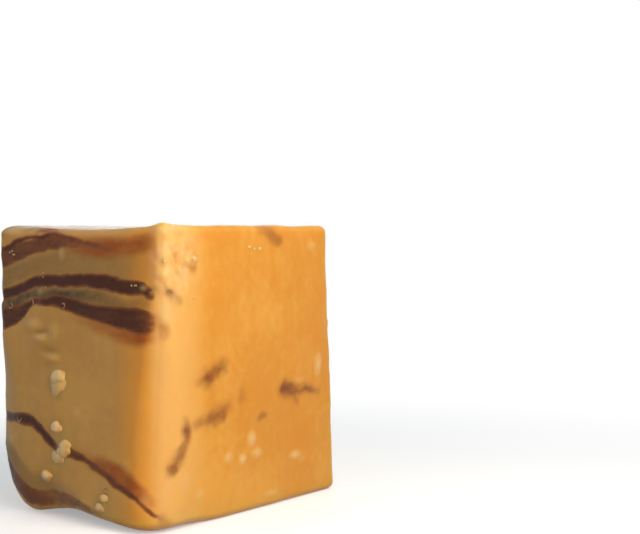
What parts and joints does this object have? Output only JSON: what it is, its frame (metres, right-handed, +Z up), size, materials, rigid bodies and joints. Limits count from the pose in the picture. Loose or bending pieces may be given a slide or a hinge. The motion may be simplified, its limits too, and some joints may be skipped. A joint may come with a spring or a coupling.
{
  "type": "fudge cube",
  "caption": "Hand-cut piece of caramel-coloured fudge marbled with dark chocolate, with rounded edges, standing on one cut end.",
  "frame": {"origin": "middle of the underside, on the surface the piece stands on", "axes": "+Z up; +X out of the slab's surface face, across the slab's thickness; -Y out of the marbled cut face"},
  "size_m": [0.0272, 0.0344, 0.034],
  "materials": {
    "fudge": null
  },
  "bodies": {
    "root": {"fudge_cube": "fudge"}
  },
  "joints": []
}
